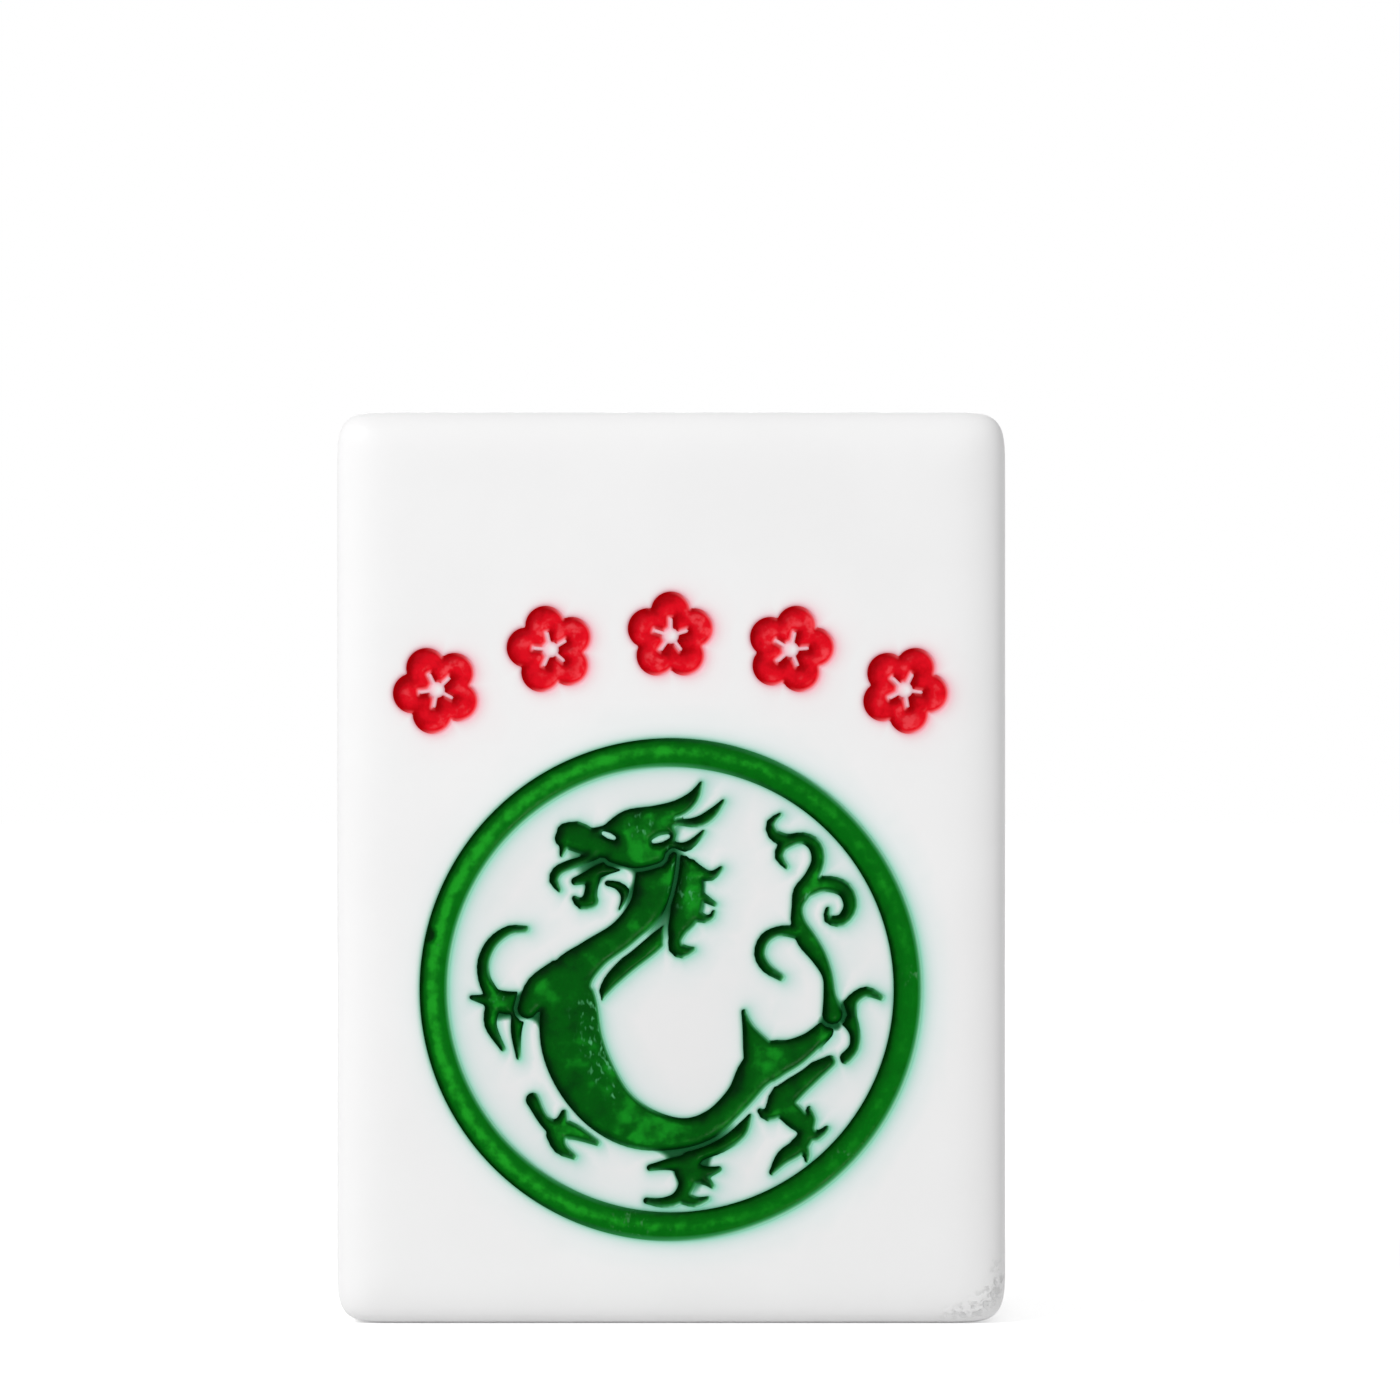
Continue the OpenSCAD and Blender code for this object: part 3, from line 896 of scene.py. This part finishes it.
class Surface:
    """A material put together from nodes round one shader."""

    # Where the Mix node has its factor, its two colours and the mixed colour
    MIX_INPUTS = (0, 6, 7)
    MIX_RESULT = 2

    def __init__(self, name, **constants):
        self.material = bpy.data.materials.new(name)
        self.material.use_nodes = True
        self.tree = self.material.node_tree
        self.shader = self.tree.nodes["Principled BSDF"]
        for key, value in constants.items():
            self.feed(self.shader.inputs[key.replace("_", " ")], value)
        self.place = self.node("ShaderNodeTexCoord").outputs["Object"]

    def feed(self, socket, value):
        """Links another node's output to a socket, or sets a number or colour there."""
        if isinstance(value, bpy.types.NodeSocket):
            self.tree.links.new(value, socket)
        elif socket.type == "RGBA":
            socket.default_value = (*value, 1)
        else:
            socket.default_value = value

    def node(self, kind, settings=(), **inputs):
        """A node with its settings, and with values or links at its inputs.

        An input goes by its name, or by its number as i0 or i1."""
        made = self.tree.nodes.new(kind)
        for key, value in dict(settings).items():
            setattr(made, key, value)
        for key, value in inputs.items():
            place = int(key[1:]) if key[1:].isdigit() else key.replace("_", " ")
            self.feed(made.inputs[place], value)
        return made

    def noise(self, size, detail=2.0, upright=1.0):
        """Noise from 0 to 1, with grains that many millimetres wide and so much taller."""
        place = self.node(
            "ShaderNodeVectorMath", {"operation": "MULTIPLY"}, i0=self.place,
            i1=(1, 1, 1 / upright),
        ).outputs[0]
        return self.node(
            "ShaderNodeTexNoise", Vector=place, Scale=1 / (size * MM), Detail=detail
        ).outputs["Fac"]

    def attribute(self, name, output="Fac"):
        """What is stored for each vertex under that name."""
        return self.node("ShaderNodeAttribute", {"attribute_name": name}).outputs[output]

    def mapped(self, value, ends, to=(0.0, 1.0), kind="SMOOTHSTEP"):
        """A value carried from one range to another, and kept inside it."""
        names = ("From Min", "From Max", "To Min", "To Max")
        return self.node(
            "ShaderNodeMapRange", {"interpolation_type": kind}, Value=value,
            **dict(zip(names, (*ends, *to))),
        ).outputs["Result"]

    def product(self, a, b):
        """One value times another."""
        return self.node("ShaderNodeMath", {"operation": "MULTIPLY"}, i0=a, i1=b).outputs[0]

    def mix(self, share, a, b, kind="MIX"):
        """One colour blended into another."""
        made = self.node("ShaderNodeMix", {"data_type": "RGBA", "blend_type": kind})
        for number, value in zip(self.MIX_INPUTS, (share, a, b)):
            self.feed(made.inputs[number], value)
        return made.outputs[self.MIX_RESULT]

    def set(self, key, value):
        """Links a value that varies over the surface to the shader."""
        self.tree.links.new(value, self.shader.inputs[key])

    def bump(self, heights):
        """Relief from pairs of a height from 0 to 1 and its size in millimetres."""
        normal = None
        for height, size in heights:
            made = self.node("ShaderNodeBump", Height=height, Distance=size * MM, Strength=1.0)
            if normal:
                self.tree.links.new(normal, made.inputs["Normal"])
            normal = made.outputs["Normal"]
        self.set("Normal", normal)


def resin_material():
    """Polished white moulded resin, which takes a little colour from the enamel beside it,
    partly as a film and partly as painted light.
    """
    surface = Surface("white_resin", IOR=IOR, Specular_IOR_Level=RESIN_GLOSS)
    cloudy = surface.mapped(surface.noise(*RESIN_CLOUDS), RESIN_RANGE)
    colour = surface.mix(cloudy, RESIN_WHITE, RESIN_SHADE)
    film = surface.attribute("film", "Color")
    colour = surface.mix(1.0, colour, film, "MULTIPLY")
    surface.set("Specular Tint", film)
    grit = surface.mapped(surface.noise(SCUFF_GRIT), SCUFF_RANGE)
    scuffs = surface.product(grit, surface.attribute("scuffed"))
    surface.set("Base Color", surface.mix(scuffs, colour, SCUFF_GREY))
    sheen = surface.noise(*RESIN_SHEEN)
    surface.set("Roughness", surface.mapped(sheen, RESIN_RANGE, RESIN_ROUGHNESS))
    swell_wide, swell_tall = RESIN_SWELL
    surface.bump([
        (surface.noise(swell_wide), swell_tall),
        (surface.noise(FINE_GRAIN), RESIN_GRAIN_TALL),
        (scuffs, SCUFF_CUT),
    ])
    return surface.material


def enamel_material(name, tones, wear_and_glints, lit_rim_films, grain, clouds):
    """Glossy hand-laid enamel, from its deepest colour, which also serves as painted shade, to
    its palest, with a pale rim that is partly a film and partly painted light, and with specks
    of wear that on the figure also stand in as painted glints.
    """
    surface = Surface(name, IOR=IOR, Specular_IOR_Level=ENAMEL_GLOSS)
    cloudy = surface.mapped(
        surface.noise(grain), ENAMEL_CLOUD_RANGE, (1 - clouds, 1 + clouds)
    )
    # The tone holds painted shade at the walls, and on the ring a painted highlight
    tone = surface.product(surface.attribute("tone"), cloudy)
    colour, *paler = tones
    for ends, next_tone in zip(TONE_RANGES, paler):
        colour = surface.mix(surface.mapped(tone, ends), colour, next_tone)
    # Specks of wear, which on the figure also stand in as painted glints
    specks = surface.mapped(surface.noise(*SPECKS), SPECK_RANGE)
    specks = surface.product(specks, surface.attribute("wear_and_glints"))
    colour = surface.mix(specks, colour, wear_and_glints)
    # A pale rim on walls that face the light: partly a thin film, partly painted light
    lit_thin_rim = surface.attribute("lit_thin_rim")
    for ends, film in zip(LIT_RIM_RANGES, lit_rim_films):
        colour = surface.mix(surface.mapped(lit_thin_rim, ends), colour, film)
    surface.set("Base Color", colour)
    sheen = surface.noise(grain)
    surface.set("Roughness", surface.mapped(sheen, ENAMEL_SHEEN_RANGE, ENAMEL_ROUGHNESS))
    surface.bump([
        (surface.noise(grain * ENAMEL_SWELL_SHARE), ENAMEL_SWELL_TALL),
        (surface.noise(FINE_GRAIN), ENAMEL_GRAIN_TALL),
    ])
    return surface.material


def ring_green():
    """The ring's green, which is brighter than the figure's."""
    return enamel_material(
        "ring_green",
        tones=((0.0003, 0.026, 0.002), (0.0008, 0.145, 0.005), (0.013, 0.35, 0.018)),
        wear_and_glints=(0.05, 0.23, 0.07), lit_rim_films=(HALF_MINT, MINT), grain=0.35, clouds=0.2,
    )


def figure_green():
    """The dragon's dark green."""
    return enamel_material(
        "figure_green",
        tones=((0.0002, 0.021, 0.003), (0.0006, 0.092, 0.004), (0.007, 0.26, 0.014)),
        wear_and_glints=(0.09, 0.42, 0.17), lit_rim_films=(HALF_MINT, MINT), grain=0.4, clouds=0.22,
    )


def blossom_red():
    """The blossoms' red."""
    return enamel_material(
        "blossom_red",
        tones=((0.48, 0.0005, 0.004), (0.74, 0.004, 0.014), (0.84, 0.055, 0.07)),
        wear_and_glints=(0.84, 0.2, 0.2), lit_rim_films=(HALF_PINK, PINK), grain=0.3, clouds=0.45,
    )


def lit_side(group, flat):
    """1 at walls that face the light, which comes from the left and a little from above, and -1
    at walls turned away from it.
    """
    return -group.slope(flat) @ np.array(LIGHT_TRAVEL)


def nearness(flat, places):
    """1 in the middle of any of the places, and 0 outside them."""
    near = np.zeros(len(flat))
    for x, z, reach in places:
        near = np.maximum(near, 1 - np.hypot(*(flat - (x, z)).T) / reach)
    return np.clip(near / PLACE_EDGE, 0, 1)


def smear_share(flat):
    """How much of the smear lies at points of the face, from 0 to 1."""
    least, full = SMEAR_COVER
    share = np.clip((figure.sample(figure.cover, flat) - least) / (full - least), 0, 1)
    share *= nearness(flat, SMEARED) * (1 - nearness(flat, CLEAN))
    return np.maximum(share, nearness(flat, FLOODED))


def film_and_light_colours(flat):
    """What film, painted light carried from the enamel, a greyer field inside the ring and smear
    leave of the resin's white, by colour.
    """
    absorbed = np.outer(smear_share(flat), SMEAR)
    tints = ((GREEN_FILM, GREEN_GLOW), (GREEN_FILM, GREEN_GLOW), (RED_FILM, RED_GLOW))
    for group, (film, glow) in zip(GROUPS, tints):
        gap = np.maximum(-group.at(flat), 0)
        side = lit_side(group, flat)
        # The film reaches further on the pocket's lit side: painted light
        film_share = FILM * np.exp(-gap / (FILM_REACH + FILM_LIT_SPREAD * side))
        glow_share = np.exp(-gap / GLOW_REACH) - math.exp(-FIELD_REACH / GLOW_REACH)
        glow_share = np.maximum(glow_share, 0) * (GLOW_EVEN + GLOW_LIT * side)
        absorbed += np.outer(film_share, film) + np.outer(glow_share, glow)
    inside_ring = 1 + (ring.middle - ring.reach(flat)) / INNER_GREY_FADE
    absorbed += INNER_GREY * np.clip(inside_ring, 0, 1)[:, None]
    return np.exp(-absorbed)


def drawn_tone(flat):
    """The drawn fillings are cloudy, in broad patches and fine streaks."""
    clouds = waves(flat, *BROAD_CLOUDS) + waves(flat, *FINE_CLOUDS)
    return DRAWN_TONE + clouds + PALER * nearness(flat, PALE_PLACES)


def ring_tone(flat):
    """Painted highlight: the ring's filling is palest along its middle, where its hollow surface
    would catch the light, and more so on its left side, towards the light.
    """
    away = flat - ring.centre
    turn = np.arctan2(away[:, 1], away[:, 0])
    left = (1 - np.cos(turn + BAND_TURN)) / 2
    band_middle = ring.middle + BAND_OUT + BAND_OUT_LEFT * left
    across = (ring.reach(flat) - band_middle) / BAND_WIDE
    band = np.exp(-across ** 2) * (BAND_PALER + BAND_PALER_LEFT * left)
    return RING_TONE + band + waves(flat, *RING_CLOUDS)


def dress(filling, group, tone, rims, wear_and_glints_at):
    """Gives a filling its colour, with painted shade at its walls and most at those turned from
    the light, its lit rims of painted light and film, and its places of wear, which on the
    figure are also painted glints.

    No lit rim is painted where the figure's ridges are smeared over."""
    shade_rim, lit_rim_reach = rims
    flat, _ = face_points(filling.data)
    side = lit_side(group, flat)
    inside = np.maximum(group.at(flat), 0)
    # Painted shade: the colour falls to its deepest near each wall, over a wider reach where the
    # wall turns away from the light
    clear_of_rim_shade = np.clip(inside / (shade_rim * (SHADE_EVEN - SHADE_BY_SIDE * side)), 0, 1)
    # A nick in the ring's edge is shown only by painted shade
    clear_of_nick_shade = 1 - nearness(flat, SHADED_NICKS)
    # Painted light: a pale rim, partly a thin film, on the walls that face the light
    lit_thin_rim = (1 - inside / lit_rim_reach) * np.clip(LIT_RIM_EVEN + side, 0, 1)
    if group is figure:
        lit_thin_rim *= 1 - nearness(flat, SMEARED)
    set_attribute(filling.data, "tone", np.clip(tone(flat) * clear_of_rim_shade * clear_of_nick_shade, 0, 1))
    set_attribute(filling.data, "lit_thin_rim", np.clip(lit_thin_rim, 0, 1))
    set_attribute(filling.data, "wear_and_glints", nearness(flat, wear_and_glints_at) * clear_of_rim_shade)


def make_block():
    """The block, with colour on its lips, partly film and partly painted light, and scuffs at
    one corner.
    """
    tile = piece("tile_body", tile_shell(), "tile_block", resin_material())
    flat, depth = face_points(tile.data)
    colours = film_and_light_colours(flat)
    colours[depth > ROUND_DEEP] = WHITE
    set_colours(tile.data, "film", colours)
    near_face = np.clip(2 - depth / SCUFF_DEEP, 0, 1)
    set_attribute(tile.data, "scuffed", nearness(flat, SCUFFED) * near_face)


def make_ring_filling():
    """The ring's enamel."""
    filling = piece("ring_filling", ring_shell(), "ring_enamel", ring_green())
    dress(filling, ring, ring_tone, RING_RIMS, RING_WORN)


def make_drawn_fillings(group, material, wear_and_glints_at):
    """The enamel of one group of drawn pockets, one piece for each node."""
    for node, shell in enamel_shells(group).items():
        filling = piece(node.replace("_enamel", "_filling"), shell, node, material)
        dress(filling, group, drawn_tone, DRAWN_RIMS, wear_and_glints_at)


def make_camera():
    """A level camera square to the face."""
    camera = bpy.data.objects.new("camera", bpy.data.cameras.new("camera"))
    camera.data.sensor_width = SENSOR
    camera.data.lens = SENSOR * VIEW_DISTANCE / VIEW_WIDTH
    camera.data.clip_start = CLIP_START * MM
    x, z = VIEW_CENTRE
    camera.location = Vector((x, FACE_Y - VIEW_DISTANCE, z)) * MM
    camera.rotation_euler = (math.radians(90), 0, 0)
    bpy.context.scene.collection.objects.link(camera)
    bpy.context.scene.camera = camera


def make_lamp(name, place, size, power):
    """A round lamp that looks at the middle of the face."""
    light = bpy.data.lights.new(name, "AREA")
    light.shape = "DISK"
    light.size = size * MM
    light.energy = power
    lamp = bpy.data.objects.new(name, light)
    lamp.location = Vector(place) * MM
    aim = Vector((CENTRE[0], FACE_Y, CENTRE[1])) * MM - lamp.location
    lamp.rotation_euler = aim.to_track_quat("-Z", "Y").to_euler()
    bpy.context.scene.collection.objects.link(lamp)


def seen_directly(tree):
    """1 for what the camera sees, also by reflection or through glass, and 0 for light."""
    path = tree.nodes.new("ShaderNodeLightPath")
    value = path.outputs["Is Camera Ray"]
    for kind in ("Is Glossy Ray", "Is Transmission Ray"):
        either = tree.nodes.new("ShaderNodeMath")
        either.operation = "MAXIMUM"
        tree.links.new(value, either.inputs[0])
        tree.links.new(path.outputs[kind], either.inputs[1])
        value = either.outputs[0]
    return value


def make_world():
    """Plain pale light from all round, and a white background."""
    world = bpy.data.worlds.new("studio")
    bpy.context.scene.world = world
    world.use_nodes = True
    tree = world.node_tree
    background = tree.nodes["Background"]
    background.inputs["Color"].default_value = (*WHITE, 1)
    strength = tree.nodes.new("ShaderNodeMapRange")
    strength.inputs["To Min"].default_value = FILL
    tree.links.new(seen_directly(tree), strength.inputs["Value"])
    tree.links.new(strength.outputs["Result"], background.inputs["Strength"])


def floor_material():
    """White that glows a little, but only for what is seen directly."""
    surface = Surface(
        "floor", Base_Color=FLOOR_WHITE, Roughness=FLOOR_ROUGHNESS, Specular_IOR_Level=0,
        Emission_Color=WHITE,
    )
    away = surface.node("ShaderNodeVectorMath", {"operation": "LENGTH"}, i0=surface.place)
    fade = [reach * MM for reach in FLOOR_GLOW_FADE]
    glow = surface.mapped(away.outputs["Value"], fade, FLOOR_GLOW, "LINEAR")
    seen = seen_directly(surface.tree)
    surface.set("Emission Strength", surface.product(seen, glow))
    return surface.material


def make_floor():
    """A white floor that meets the background, and still takes the tile's shadow."""
    reach = FLOOR_SIZE * MM / 2
    mesh = bpy.data.meshes.new("floor")
    corners = [(-reach, -reach, 0), (reach, -reach, 0), (reach, reach, 0), (-reach, reach, 0)]
    mesh.from_pydata(corners, [], [(0, 1, 2, 3)])
    mesh.materials.append(floor_material())
    floor = bpy.data.objects.new("floor", mesh)
    bpy.context.scene.collection.objects.link(floor)


make_block()
make_ring_filling()
make_drawn_fillings(figure, figure_green(), FIGURE_WEAR_AND_GLINTS)
make_drawn_fillings(blossoms, blossom_red(), ())

make_camera()
for name, (place, size, power) in LAMPS.items():
    make_lamp(name, place, size, power)
make_world()
make_floor()
bpy.context.scene.view_settings.view_transform = "Standard"
